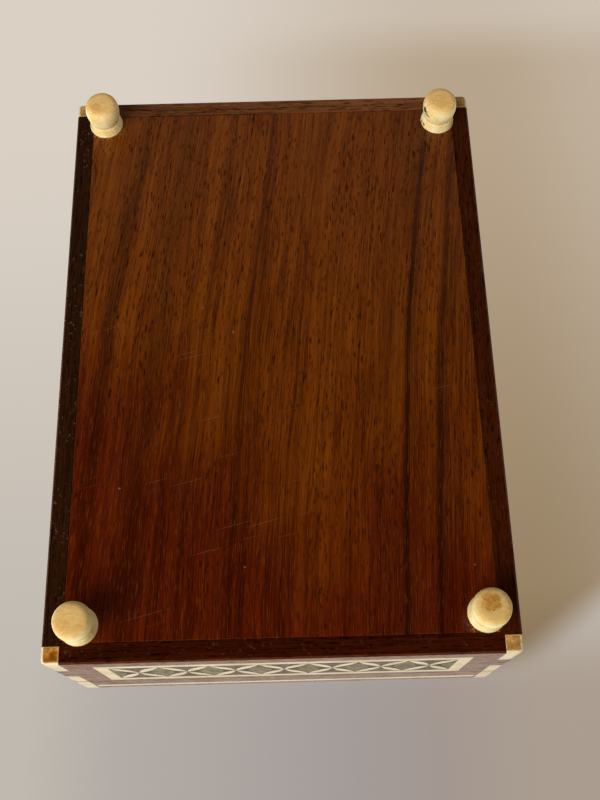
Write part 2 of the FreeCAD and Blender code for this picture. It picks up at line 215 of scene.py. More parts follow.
def rosewood(
    name, tones, along="X", seed=0.0, slope=0.0, bow=0.0, veins=(), shaded_end=None, glue=(), under=None,
    gloss=0.22, shine=0.6, under_shine=0.1, scuffs=0.0,
):
    """Polished rosewood: streaks and dark veins along the grain, short dark pores, fine fibres, worn edges.

    tones are the dark, middle and light colour. across is the distance across the grain, which leans by
    slope and curves by bow. Each vein is (across, half width, strength). shaded_end is painted shade that
    darkens the wood towards one end along X and into its corners: where it starts and ends, the tint there
    and its strength. glue are the feet with some old glue beside them. under tints the underside, partly as
    the board's own darker edge and partly as painted sheen, which leaves the faces lighter and lights the
    right board's underside. scuffs have worn the underside pale in small specks.
    """
    shader = Shader(bpy.data.materials.new(name))
    x, y, z = shader.place()
    length, width = (x, y) if along == "X" else (y, x)
    lean = shader.add(shader.times(length, slope), shader.times(shader.times(length, length), bow))
    straight = shader.math("SUBTRACT", width, lean)
    sway_place = shader.vector(shader.times(length, 0.02), shader.times(straight, 0.05), seed)
    sway = shader.noise(sway_place, 2.0)
    across = shader.add(straight, shader.times(shader.math("SUBTRACT", sway, 0.5), GRAIN_SWAY))
    depth = shader.add(z, seed)

    def grain_place(along_scale, across_scale, skew=0.0):
        return shader.vector(
            shader.add(shader.times(length, along_scale), shader.times(across, skew)),
            shader.times(across, across_scale),
            shader.times(depth, across_scale),
        )

    streaks = shader.noise(grain_place(0.009, 0.13), 3.0, 0.55)
    lines = shader.noise(grain_place(0.014, 0.9), 3.0, 0.65)
    fibres = shader.noise(grain_place(0.07, 3.0), 2.0, 0.7)
    figure = shader.add(shader.times(streaks, 0.26), shader.times(lines, 0.34), shader.times(fibres, 0.4))
    dark, middle, light = tones
    darkest = [PORE_SHADE * value for value in dark]
    colour = shader.ramp(figure, (0.39, dark), (0.5, middle), (0.61, light))

    for place, half_width, strength in veins:
        ragged = shader.add(across, shader.times(shader.math("SUBTRACT", fibres, 0.5), VEIN_RAGGED))
        offset = shader.math("ABSOLUTE", shader.math("SUBTRACT", ragged, place))
        vein = shader.rise(offset, half_width, 0.25 * half_width)
        broken = shader.rise(lines, 0.35, 0.55)
        shade = shader.times(vein, strength, shader.add(0.5, shader.times(broken, 0.5)))
        colour = shader.mix(shade, colour, darkest)

    # painted shade: darker towards one end along X and into the corners
    if shaded_end:
        start, end, end_shade_tone, strength = shaded_end
        cloud_place = shader.vector(shader.times(length, 0.03), shader.times(across, 0.05), seed)
        cloud = shader.noise(cloud_place, 2.0)
        ragged = shader.times(shader.math("SUBTRACT", cloud, 0.5), SHADED_END_RAGGED)
        corners = shader.add(shader.times(shader.math("ABSOLUTE", y), -0.45), shader.times(y, 0.3))
        near = shader.rise(shader.add(x, ragged, corners), start, end)
        colour = shader.mix(shader.times(near, strength), colour, end_shade_tone, "MULTIPLY")

    glints = shader.rise(shader.noise(grain_place(0.3, 4.2, 0.3), 1.0), 0.58, 0.7)
    colour = shader.mix(shader.times(glints, 0.25), colour, [1.3 * value for value in light])
    distance, chance = shader.cells(grain_place(1 / PORE_LENGTH, 1 / PORE_SPACING, 0.45))
    pores = shader.rise(shader.math("SUBTRACT", distance, shader.times(chance, 0.36)), 0.08, -0.04)
    dashes = shader.rise(shader.noise(grain_place(0.36, 1.9, -0.4), 1.5, 0.6), 0.57, 0.66)
    hairs = shader.rise(shader.noise(grain_place(0.045, 1.6), 2.0, 0.6), 0.6, 0.74)
    crowd = shader.rise(shader.noise(grain_place(0.02, 0.1), 1.0), 0.36, 0.58)
    marks = shader.add(shader.times(pores, 0.65), shader.times(dashes, 0.65))
    marks = shader.times(marks, shader.add(0.55, shader.times(crowd, 0.45)))
    marks = shader.math("MINIMUM", shader.add(marks, shader.times(hairs, 0.3)), 1.0)
    colour = shader.mix(shader.times(marks, 0.9), colour, darkest)

    wear = shader.noise(shader.scaled(0.15, x, y, z), 4.0)
    rubbing = shader.rise(shader.noise(shader.scaled(0.5, x, y, z), 3.0), 0.42, 0.62)
    worn = shader.times(shader.edges(), rubbing)
    colour = shader.mix(shader.times(worn, 0.2), colour, [1.6 * value for value in light])
    specks, speck_chance = shader.cells(shader.scaled(0.16, x, y, z))
    nicks = shader.times(shader.rise(specks, 0.05, 0.03), shader.rise(speck_chance, 0.6, 0.7))
    colour = shader.mix(shader.times(nicks, 0.45), colour, NICK_COLOUR)
    slanted = shader.add(width, shader.times(length, SCRATCH_SLANT))
    square = shader.math("SUBTRACT", length, shader.times(width, SCRATCH_SLANT))
    scratch_place = shader.vector(
        shader.times(slanted, 0.07), shader.times(square, 4.0), shader.times(depth, 4.0)
    )
    patch = shader.rise(shader.noise(shader.scaled(0.05, y, z, x), 1.0), 0.54, 0.66)
    scratches = shader.times(shader.rise(shader.noise(scratch_place, 0.0), 0.79, 0.86), patch)
    colour = shader.mix(shader.times(scratches, 0.25), colour, SCRATCH_COLOUR)
    for foot in glue:
        off_x = shader.math("SUBTRACT", x, foot.x / MM)
        off_y = shader.math("SUBTRACT", y, foot.y / MM)
        away = shader.math("SQRT", shader.add(shader.times(off_x, off_x), shader.times(off_y, off_y)))
        flecks = shader.rise(shader.noise(shader.scaled(1.7, x, y, z), 2.0, 0.6), 0.5, 0.62)
        beside = shader.rise(away, GLUE_REACH, GLUE_FULL)
        around = shader.times(beside, shader.rise(off_x, -1.5, -3.5), flecks)
        colour = shader.mix(shader.times(around, 0.7), colour, GLUE_COLOUR)
    scatter = shader.times(shader.math("SUBTRACT", wear, 0.5), 0.25)
    roughness = shader.add(gloss, shader.times(marks, 0.25), shader.times(worn, 0.15), scatter)
    underside = shader.rise(shader.local_normal()[2], -0.3, -0.9)
    sheen = shader.add(shine, shader.times(underside, under_shine - shine))
    # underside tint: partly the board's own darker edge, partly painted sheen
    if under:
        colour = shader.mix(underside, colour, under, "MULTIPLY")
    if scuffs:
        rubbed = shader.rise(shader.noise(shader.scaled(0.12, x, y, z), 1.0), 0.4, 0.6)
        bare = shader.rise(shader.noise(shader.scaled(1.1, x, y, z), 3.0, 0.65), 0.58, 0.7)
        colour = shader.mix(shader.times(underside, rubbed, bare, scuffs), colour, SCUFF_COLOUR)
    return shader.surface(
        base_color=colour,
        roughness=shader.add(roughness, shader.times(underside, UNDER_ROUGHNESS)),
        specular_ior_level=shader.times(sheen, shader.one_minus(marks)),
        specular_tint=(*WOOD_SHEEN, 1.0),
        normal=shader.bump(shader.math("SUBTRACT", shader.times(fibres, 0.2), marks), WOOD_RELIEF),
    )


# Bone

BONE_TONES = ((0.77, 0.54, 0.20), (0.93, 0.74, 0.35), (0.96, 0.84, 0.50))
# Inlaid bone: its own cream, kept dimmer and less yellow than the feet as painted shade from the nearby
# table and painted reflection of its pale colour
SHADED_INLAY_TONES = ((0.64, 0.53, 0.34), (0.77, 0.67, 0.48), (0.84, 0.76, 0.58))
# Brown of the painted shade along the seam between body and lid
SEAM_SHADE_COLOUR = (0.20, 0.11, 0.04)
BONE_LINES = (0.33, 0.20, 0.08)
BONE_RELIEF = 0.03
END_TONES = ((0.17, 0.05, 0.003), (0.34, 0.135, 0.013), (0.62, 0.34, 0.075))
END_SPECKS = (0.12, 0.05, 0.01)
END_BORDER = 0.5
END_RELIEF = 0.04
PIT_COLOUR = (0.045, 0.028, 0.006)
STAIN_SPECKS = (0.32, 0.135, 0.018)
FOOT_RELIEF = 0.1
BONE_WIDTH = 3.7


def bone(name, along="X", seed=0.0, gloss=0.32, seam=None):
    """Old polished bone: cream, a little yellowed in clouds, with fine darker lines along it.

    Painted shade darkens the bone brown along the seam between body and lid, if its level is given.
    """
    shader = Shader(bpy.data.materials.new(name))
    x, y, z = shader.place()
    length, width, depth = {"X": (x, y, z), "Y": (y, x, z), "Z": (z, x, y)}[along]
    cloud = shader.noise(shader.scaled(0.16, x, y, shader.add(z, seed)), 3.0)
    # the inlay tones carry painted shade and a painted reflection
    dark, middle, light = SHADED_INLAY_TONES
    colour = shader.ramp(cloud, (0.25, dark), (0.5, middle), (0.72, light))
    line_place = shader.vector(
        shader.times(length, 0.35), shader.times(width, 4.0), shader.times(depth, 4.0)
    )
    distance, chance = shader.cells(line_place)
    lines = shader.times(shader.rise(distance, 0.3, 0.12), shader.rise(chance, 0.6, 0.9))
    colour = shader.mix(shader.times(lines, 0.3), colour, BONE_LINES)
    # painted shade along the seam between body and lid
    if seam is not None:
        off_seam = shader.math("ABSOLUTE", shader.math("SUBTRACT", z, seam))
        seam_shade = shader.rise(shader.add(off_seam, shader.times(cloud, 0.6)), 1.7, 0.6)
        colour = shader.mix(shader.times(seam_shade, 0.85), colour, SEAM_SHADE_COLOUR)
    return shader.surface(
        base_color=colour,
        roughness=shader.add(gloss, shader.times(lines, 0.2), shader.times(cloud, 0.12)),
        specular_ior_level=0.45,
        normal=shader.bump(shader.math("SUBTRACT", shader.times(cloud, 0.2), lines), BONE_RELIEF),
    )


def bone_end(name, stain, corner_stain):
    """End of a bone block: brown where grime has gone into the pores, cream along its edges.

    stain is how brown the ends are, and corner_stain how much browner the front left one is.
    """
    shader = Shader(bpy.data.materials.new(name))
    x, y, z = shader.place()
    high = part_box("lower_corner_bones")[1]
    cloud = shader.noise(shader.scaled(0.6, x, y, z), 4.0, 0.6)
    dark, middle, light = END_TONES
    brown = shader.ramp(cloud, (0.38, dark), (0.52, middle), (0.68, light))
    distance, chance = shader.cells(shader.scaled(3.0, x, y, z))
    specks = shader.times(shader.rise(distance, 0.3, 0.15), shader.rise(chance, 0.5, 0.8))
    brown = shader.mix(shader.times(specks, 0.5), brown, END_SPECKS)
    inward = []
    for edge, value in ((high.x, x), (high.y, y)):
        inward.append(shader.math("SUBTRACT", edge / MM, shader.math("ABSOLUTE", value)))
    inward += [shader.math("SUBTRACT", BONE_WIDTH + END_BORDER, value) for value in inward]
    nearest = inward[0]
    for value in inward[1:]:
        nearest = shader.math("MINIMUM", nearest, value)
    ragged = shader.times(shader.math("SUBTRACT", cloud, 0.5), 1.2)
    inside = shader.rise(shader.add(nearest, ragged), 0.15, 0.75)
    darkest = shader.times(shader.math("LESS_THAN", x, 0.0), shader.math("LESS_THAN", y, 0.0))
    strength = shader.add(stain, shader.times(darkest, corner_stain))
    colour = shader.mix(shader.times(inside, strength), BONE_TONES[1], brown)
    return shader.surface(
        base_color=colour,
        roughness=shader.add(0.42, shader.times(cloud, 0.2)),
        specular_ior_level=0.35,
        normal=shader.bump(shader.math("SUBTRACT", cloud, specks), END_RELIEF),
    )


def foot_bone(name, centre, height, look, seed):
    """Turned bone of one foot: cream on the sides, tan on the worn tip, with its own stain and dark pits.

    The stain and the pits are placed from the middle of the tip: stain is (x, y, reach, strength) and each
    pit is (x, y, z, radius, strength), with lengths in millimetres.
    """
    shader = Shader(bpy.data.materials.new(name))
    x, y, z = shader.place()
    local = shader.vector(
        shader.math("SUBTRACT", x, centre.x / MM), shader.math("SUBTRACT", y, centre.y / MM), z
    )
    local_x, local_y, local_z = shader.node("SeparateXYZ", {0: local}).outputs

    def distance_to(place):
        return shader.node("VectorMath", {0: local, 1: place}, operation="DISTANCE").outputs["Value"]

    cloud = shader.noise(shader.scaled(0.4, x, y, shader.add(z, seed)), 3.0)
    ragged = shader.noise(shader.scaled(1.1, x, y, shader.add(z, seed)), 3.0, 0.6)
    dark, middle, light = BONE_TONES
    colour = shader.ramp(cloud, (0.25, dark), (0.45, middle), (0.65, light))
    streak_place = shader.vector(
        shader.times(local_x, 2.0), shader.times(local_y, 0.5), shader.times(z, 0.5)
    )
    streaks = shader.noise(streak_place, 4.0, 0.6)
    tip = shader.rise(shader.add(z, shader.times(ragged, 1.4)), 0.3 * height / MM, 0.08 * height / MM)
    tan = shader.ramp(streaks, (0.35, look["tip"][0]), (0.65, look["tip"][1]))
    colour = shader.mix(shader.times(tip, 0.8), colour, tan)

    stain_x, stain_y, reach, strength = look["stain"]
    spread = shader.add(distance_to((stain_x, stain_y, 0.0)), shader.times(ragged, 2.0))
    stain = shader.rise(spread, reach + 1.0, 0.4 * reach + 1.0)
    colour = shader.mix(shader.times(stain, strength), colour, look["stain_colour"])
    speck_distance, speck_chance = shader.cells(shader.scaled(1.3, local_x, local_y, local_z))
    mottle = shader.rise(ragged, 0.58, 0.36)
    specks = shader.times(shader.rise(speck_distance, 0.62, 0.2), shader.rise(speck_chance, 0.1, 0.6))
    specks = shader.times(shader.math("MAXIMUM", specks, mottle), stain, strength, strength)
    colour = shader.mix(shader.times(specks, 0.55), colour, STAIN_SPECKS)

    hollow = specks
    for *place, radius, strength in look["pits"]:
        edge = shader.add(distance_to(place), shader.times(shader.math("SUBTRACT", ragged, 0.5), radius))
        pit = shader.rise(edge, radius, 0.55 * radius)
        colour = shader.mix(shader.times(pit, strength), colour, PIT_COLOUR)
        hollow = shader.math("MAXIMUM", hollow, pit)
    return shader.surface(
        base_color=colour,
        roughness=shader.add(0.45, shader.times(cloud, 0.15), shader.times(hollow, 0.3)),
        specular_ior_level=0.22,
        subsurface_weight=0.15,
        subsurface_radius=(1.0, 0.5, 0.2),
        subsurface_scale=MM,
        normal=shader.bump(shader.math("SUBTRACT", shader.times(streaks, 0.12), hollow), FOOT_RELIEF),
    )


# Tiles and brass

TILE_RELIEF = 0.03
BRASS_TONES = ((0.20, 0.11, 0.04), (0.50, 0.33, 0.12), (0.72, 0.53, 0.24))
BRASS_RELIEF = 0.02


def tile(name, tones, seed, gloss=0.42):
    """Stained wood or bone of the mosaic, mottled with fine grain."""
    shader = Shader(bpy.data.materials.new(name))
    x, y, z = shader.place()
    mottle = shader.noise(shader.scaled(0.5, x, y, shader.add(z, seed)), 3.0)
    fine_place = shader.vector(shader.times(x, 1.2), shader.times(y, 1.2), shader.times(z, 6.0))
    fine = shader.noise(fine_place, 3.0, 0.65)
    figure = shader.add(shader.times(mottle, 0.6), shader.times(fine, 0.4))
    dark, middle, light = tones
    colour = shader.ramp(figure, (0.38, dark), (0.5, middle), (0.62, light))
    return shader.surface(
        base_color=colour,
        roughness=shader.add(gloss, shader.times(fine, 0.15)),
        specular_ior_level=0.35,
        normal=shader.bump(fine, TILE_RELIEF),
    )


def brass(name):
    """Dull old brass, browned in patches, with fine scratches."""
    shader = Shader(bpy.data.materials.new(name))
    x, y, z = shader.place()
    patches = shader.noise(shader.scaled(0.6, x, y, z), 5.0, 0.65)
    scratch_place = shader.vector(shader.times(x, 0.6), shader.times(y, 9.0), shader.times(z, 9.0))
    scratches = shader.noise(scratch_place, 3.0)
    dark, middle, light = BRASS_TONES
    colour = shader.ramp(patches, (0.35, dark), (0.5, middle), (0.66, light))
    return shader.surface(
        base_color=colour,
        metallic=0.9,
        roughness=shader.add(0.28, shader.times(scratches, 0.25)),
        normal=shader.bump(scratches, BRASS_RELIEF),
    )


# Mesh helpers

WELD_DISTANCE = 0.001 * MM
FLAT_ANGLE = math.radians(1)
SHARP_ANGLE = math.radians(25)
EDGE_SEGMENTS = 2
ROUND_PROFILE = 0.5


def new_piece(name, mesh, body, replaced, materials):
    """Puts a mesh into the scene as a piece that rides on a body and stands for CAD nodes."""
    piece = bpy.data.objects.new(name, mesh)
    bpy.context.scene.collection.objects.link(piece)
    for material in materials:
        mesh.materials.append(material)
    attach(piece, body)
    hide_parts(*replaced)
    return piece


def weighted_normals(piece):
    """Flat faces stay flat beside small rounded edges."""
    for polygon in piece.data.polygons:
        polygon.use_smooth = True
    piece.modifiers.new("normals", "WEIGHTED_NORMAL").keep_sharp = True


def softened(node, materials, edge, choose=None):
    """Copy of a CAD node with its outer edges rounded by a small radius, which stands for the node."""
    made = bmesh.new()
    made.from_mesh(nodes[node].data)
    bmesh.ops.remove_doubles(made, verts=made.verts, dist=WELD_DISTANCE)
    bmesh.ops.dissolve_limit(made, angle_limit=FLAT_ANGLE, verts=made.verts, edges=made.edges)
    convex = [line for line in made.edges if line.is_manifold and line.is_convex]
    sharp = [line for line in convex if line.calc_face_angle() > SHARP_ANGLE]
    long_enough = [line for line in sharp if line.calc_length() > 2 * edge]
    bmesh.ops.bevel(
        made, geom=long_enough, offset=edge, offset_type="OFFSET", segments=EDGE_SEGMENTS,
        profile=ROUND_PROFILE, affect="EDGES", clamp_overlap=True,
    )
    if choose:
        for face in made.faces:
            face.material_index = choose(face)
    mesh = bpy.data.meshes.new(node + "_soft")
    made.to_mesh(mesh)
    made.free()
    piece = new_piece(node + "_soft", mesh, nodes[node]["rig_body"], [node], materials)
    weighted_normals(piece)
    return piece


def bars(name, spans, edge, body, replaced, materials):
    """Straight bars with rounded edges, each from its lowest to its highest corner, as one piece."""
    made = bmesh.new()
    for low, high in spans:
        place = Matrix.Translation((low + high) / 2) @ Matrix.Diagonal((*(high - low), 1))
        bmesh.ops.create_cube(made, size=1, matrix=place)
    bmesh.ops.bevel(
        made, geom=made.edges[:], offset=edge, segments=EDGE_SEGMENTS, profile=ROUND_PROFILE, affect="EDGES"
    )
    mesh = bpy.data.meshes.new(name)
    made.to_mesh(mesh)
    made.free()
    piece = new_piece(name, mesh, body, replaced, materials)
    weighted_normals(piece)
    return piece


def picture_frame(node, width, edge, materials):
    """Four bars round a field, two of full length and two between them, which stand for a CAD frame."""
    low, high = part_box(node)
    size = high - low
    thin = min(range(3), key=lambda axis: size[axis])
    flat = [axis for axis in range(3) if axis != thin]
    long_axis, short_axis = sorted(flat, key=lambda axis: -size[axis])
    spans = []
    for side in (0, 1):
        ends = [low.copy(), high.copy()]
        ends[1 - side][short_axis] = (low, high)[side][short_axis] + (width if side == 0 else -width)
        spans.append(ends)
        ends = [low.copy(), high.copy()]
        ends[1 - side][long_axis] = (low, high)[side][long_axis] + (width if side == 0 else -width)
        ends[0][short_axis] += width
        ends[1][short_axis] -= width
        spans.append(ends)
    return bars(node + "_bars", spans, edge, nodes[node]["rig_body"], [node], materials)


# Feet

# Radius and level of the outline of a foot, in millimetres
FOOT_OUTLINE = (
    (0.0, 0.0), (2.3, 0.06), (3.05, 0.22), (3.52, 0.52), (3.82, 0.98), (3.99, 1.6), (4.08, 2.28),
    (4.1, 2.95), (4.06, 3.65), (3.95, 4.4), (3.8, 5.1), (3.66, 5.65), (3.6, 5.92), (3.66, 6.06),
    (3.74, 6.22), (3.82, 6.6), (3.93, 7.2), (4.05, 7.8), (4.13, 8.2), (4.15, 8.4),
)
FOOT_SEGMENTS = 96
FOOT_SEED_STEP = 7.0
OUTLINE_STEPS = 5


def smooth_outline(points):
    """Points along a smooth line through the given points."""
    ends = [points[0]] + list(points) + [points[-1]]
    line = []
    for before, start, end, after in zip(ends, ends[1:], ends[2:], ends[3:]):
        for step in range(OUTLINE_STEPS):
            t = step / OUTLINE_STEPS
            point = []
            for a, b, c, d in zip(before, start, end, after):
                square = 2 * a - 5 * b + 4 * c - d
                cube = 3 * b - a - 3 * c + d
                point.append(0.5 * (2 * b + (c - a) * t + square * t * t + cube * t ** 3))
            line.append(point)
    line.append(list(points[-1]))
    return line


def foot_mesh(name, centre):
    """Turned foot: worn tip, domed cap, slight neck and flange."""
    made = bmesh.new()
    rings = []
    line = smooth_outline(FOOT_OUTLINE)
    for radius, level in line[1:]:
        ring = []
        for index in range(FOOT_SEGMENTS):
            angle = 2 * math.pi * index / FOOT_SEGMENTS
            offset = Vector((math.cos(angle), math.sin(angle), 0)) * max(radius, 0.0) * MM
            ring.append(made.verts.new(Vector((centre.x, centre.y, level * MM)) + offset))
        rings.append(ring)
    for low, high in zip(rings, rings[1:]):
        for index in range(FOOT_SEGMENTS):
            after = (index + 1) % FOOT_SEGMENTS
            made.faces.new((low[index], low[after], high[after], high[index]))
    tip = made.verts.new((centre.x, centre.y, 0))
    for index in range(FOOT_SEGMENTS):
        made.faces.new((tip, rings[0][(index + 1) % FOOT_SEGMENTS], rings[0][index]))
    made.faces.new(rings[-1])
    bmesh.ops.recalc_face_normals(made, faces=made.faces)
    mesh = bpy.data.meshes.new(name)
    made.to_mesh(mesh)
    made.free()
    for polygon in mesh.polygons:
        polygon.use_smooth = len(polygon.vertices) <= 4
    return mesh


# Each foot has the dark and light tone of its tip, a stain and some pits
ORANGE = (0.74, 0.42, 0.13)
BROWN = (0.49, 0.225, 0.03)
TAN_TIP = ((0.53, 0.315, 0.085), (0.69, 0.45, 0.145))
PALE_TIP = ((0.72, 0.405, 0.115), (0.92, 0.58, 0.195))
FOOT_LOOKS = {
    "front_left_foot": {
        "tip": TAN_TIP, "stain": (-1.0, -1.6, 2.0, 0.5), "stain_colour": ORANGE, "pits": (),
    },
    "front_right_foot": {
        "tip": PALE_TIP, "stain": (-1.2, -1.2, 1.8, 0.5), "stain_colour": ORANGE, "pits": (),
    },
    "back_right_foot": {
        "tip": PALE_TIP,
        "stain": (-0.4, -0.2, 2.2, 0.25),
        "stain_colour": ORANGE,
        "pits": (
            (-1.3, -3.7, 2.3, 1.0, 0.95), (-2.1, -3.4, 2.9, 0.9, 0.6), (-2.7, -3.0, 3.3, 0.7, 0.35),
            (-0.7, -4.0, 7.85, 0.5, 0.8), (-1.76, -3.61, 7.65, 0.55, 0.75), (-0.7, -3.29, 0.8, 0.3, 0.7),
        ),
    },
    "back_left_foot": {
        "tip": TAN_TIP, "stain": (0.8, -0.3, 2.7, 0.85), "stain_colour": BROWN, "pits": (),
    },
}


def make_feet(places):
    """Four turned feet where the record has them, each with its own stain."""
    low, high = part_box("feet")
    for index, (name, look) in enumerate(FOOT_LOOKS.items()):
        centre = places[name]
        material = foot_bone(name + "_bone", centre, high.z - low.z, look, FOOT_SEED_STEP * index)
        new_piece(name, foot_mesh(name, centre), "body", ["feet"], [material])


# Marquetry bands

BAND_FRAME = 2.8 * MM
LID_BORDER = 1.6 * MM
MOTIF_PITCH = 10.7 * MM
LEAF_OUTER = 1.3 * MM
LEAF_INNER = 0.85 * MM
EYE_LINE = 0.4 * MM
GLUE_LINE = 0.03 * MM
TILE_BREAK = 0.05 * MM
SHARP_CORNER = 0.5
LEAF_STEPS = 10


def leaf_sides(crossing, tip):
    """Bowed outer and inner side of a leaf, as points from the crossing to the tip."""
    along = tip - crossing
    across = Vector((-along.y, along.x)).normalized()
    if across.y * along.y < 0:
        across = -across
    outer, inner = [], []
    for step in range(1, LEAF_STEPS):
        share = step / LEAF_STEPS
        swell = math.sin(math.pi * share)
        outer.append(crossing + along * share + across * LEAF_OUTER * swell)
        inner.append(crossing + along * share - across * LEAF_INNER * swell)
    return outer, inner


def mosaic_outlines(length, height):
    """Flat outlines of all tiles of a field, by kind, about the middle of the field."""
    count = round(length / MOTIF_PITCH)
    pitch = length / count
    outlines = {"leaves": [], "eye_fields": [], "triangles": [], "diamonds": []}
    halves = []
    for index in range(count):
        crossing = Vector(((index + 0.5) * pitch - length / 2, 0))
        both = []
        for sign_x in (-1, 1):
            half = {}
            for end, sign_y in (("top", 1), ("bottom", -1)):
                tip = crossing + Vector((sign_x * pitch / 2, sign_y * height / 2))
                outer, inner = leaf_sides(crossing, tip)
                half[end] = {"tip": tip, "outer": outer, "inner": inner}
                outlines["leaves"].append([crossing] + outer + [tip] + inner[::-1])
            middle = half["top"]["inner"][LEAF_STEPS // 2 - 1]
            gap = half["top"]["tip"] - middle - Vector((sign_x * EYE_LINE, 0))
            half["waist"] = Vector((half["top"]["tip"].x - gap.x * height / 2 / gap.y, 0))
            outer_end = [half["top"]["tip"], half["waist"], half["bottom"]["tip"]]
            field = [crossing] + half["top"]["inner"] + outer_end
            outlines["eye_fields"].append(field + half["bottom"]["inner"][::-1])
            both.append(half)
        left, right = both
        for end in ("top", "bottom"):
            outside = [left[end]["tip"]] + left[end]["outer"][::-1] + [crossing]
            outlines["triangles"].append(outside + right[end]["outer"] + [right[end]["tip"]])
        halves += both
    pairs = [halves[first:first + 2] for first in range(1, len(halves) - 1, 2)]
    for eye in [halves[:1]] + pairs + [halves[-1:]]:
        corners = [eye[0]["top"]["tip"], eye[0]["waist"], eye[0]["bottom"]["tip"]]
        outlines["diamonds"].append(corners + [half["waist"] for half in eye[1:]])
    return outlines


def inset(outline, distance):
    """Outline with its sides moved inwards; sharp corners stay near their place."""
    moved = []
    for before, point, after in zip(outline[-1:] + outline[:-1], outline, outline[1:] + outline[:1]):
        first = (point - before).normalized()
        second = (after - point).normalized()
        inwards = Vector((-first.y - second.y, first.x + second.x))
        moved.append(point + inwards * distance * 2 / max(inwards.length_squared, SHARP_CORNER))
    return moved


def turns_left(points):
    """Whether a closed outline runs anticlockwise."""
    return sum(a.x * b.y - b.x * a.y for a, b in zip(points, points[1:] + points[:1])) > 0


def tile_mesh(name, outlines, to_part, depth):
    """Thin tiles with broken edges, each a glue line smaller than its place."""
    corners, faces = [], []
    for outline in outlines:
        outline = outline if turns_left(outline) else outline[::-1]
        outer = inset(outline, GLUE_LINE)
        top = inset(outline, GLUE_LINE + TILE_BREAK)
        count = len(outline)
        first = len(corners)
        for ring, level in ((outer, -depth), (outer, -TILE_BREAK), (top, 0)):
            corners += [to_part @ Vector((point.x, point.y, level)) for point in ring]
        for low in (first, first + count):
            for index in range(count):
                after = (index + 1) % count
                faces.append((low + index, low + after, low + count + after, low + count + index))
        for triangle in tessellate_polygon([[point.to_3d() for point in top]]):
            if not turns_left([top[index] for index in triangle]):
                triangle = triangle[::-1]
            faces.append([first + 2 * count + index for index in triangle])
            faces.append([first + index for index in triangle[::-1]])
    mesh = bpy.data.meshes.new(name)
    mesh.from_pydata(corners, [], faces)
    return mesh


def band_place(band):
    """Size of a band's field, and the transform from the flat field to the part."""
    low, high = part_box(band + "_leaves")
    middle = (low + high) / 2
    size = high - low
    if band == "lid_top_band":
        return size.x, size.y, Matrix.Translation((middle.x, middle.y, high.z)), size.z
    turn, length, face = {
        "front_band": (0, size.x, Vector((middle.x, low.y, middle.z))),
        "right_band": (90, size.y, Vector((high.x, middle.y, middle.z))),
        "back_band": (180, size.x, Vector((middle.x, high.y, middle.z))),
        "left_band": (270, size.y, Vector((low.x, middle.y, middle.z))),
    }[band]
    stand = Matrix.Rotation(math.radians(turn), 4, "Z") @ Matrix.Rotation(math.radians(90), 4, "X")
    return length, size.z, Matrix.Translation(face) @ stand, min(size.x, size.y)


def make_band(band, materials):
    """All tiles of one band."""
    length, height, to_part, depth = band_place(band)
    for kind, outlines in mosaic_outlines(length, height).items():
        name = band + "_" + kind
        mesh = tile_mesh(name + "_tiles", outlines, to_part, depth)
        body = nodes[name]["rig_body"]
        new_piece(name + "_tiles", mesh, body, [name], [materials[kind]])


# Everything in place

PANEL_TONES = ((0.055, 0.0100, 0.0003), (0.134, 0.0280, 0.0006), (0.200, 0.0510, 0.0014))
WALL_TONES = ((0.060, 0.0150, 0.0045), (0.150, 0.0400, 0.0130), (0.215, 0.0660, 0.0240))
# Underside tints of the boards: partly their own darker edges, partly painted sheen, which leaves the faces
# lighter and lights the right board's underside
UNDER_TONES_AND_SHEEN = {
    "front": (0.14, 0.15, 0.10),
    "back": (0.25, 0.16, 0.03),
    "left": (0.21, 0.10, 0.035),
    "right": (1.0, 1.25, 1.3),
}
PANEL_VEINS = (
    (30.6, 0.9, 0.85), (31.2, 2.2, 0.3), (38.2, 1.0, 0.7), (38.8, 2.8, 0.3), (-28.5, 3.2, 0.45),
    (-39.2, 2.0, 0.4), (-6.9, 1.0, 0.55), (12.0, 0.8, 0.25), (-17.5, 1.2, 0.3), (26.5, 4.0, 0.2),
)
# Painted shade over the near end of the base: where it starts and ends, its tint and strength
PANEL_SHADED_END = (0.0, -72.0, (0.52, 0.19, 0.13), 0.95)
LID_VEINS = ((14.0, 2.5, 0.5), (-22.0, 1.5, 0.5))
DARK_WOOD = ((0.020, 0.019, 0.013), (0.055, 0.052, 0.037), (0.11, 0.105, 0.08))
BROWN_WOOD = ((0.055, 0.046, 0.032), (0.12, 0.098, 0.068), (0.20, 0.165, 0.12))
GREEN_BONE = ((0.088, 0.084, 0.048), (0.172, 0.156, 0.094), (0.28, 0.26, 0.17))
PANEL_EDGE = 0.15 * MM
LID_EDGE = 0.1 * MM
BOARD_EDGE = 0.12 * MM
INLAY_EDGE = 0.08 * MM
BLOCK_EDGE = 0.25 * MM
LEVEL_FACE = 0.9


def is_level(face):
    """1 for the top and bottom of a block, which show the end of the bone, and 0 for its sides."""
    return int(abs(face.normal.z) > LEVEL_FACE)


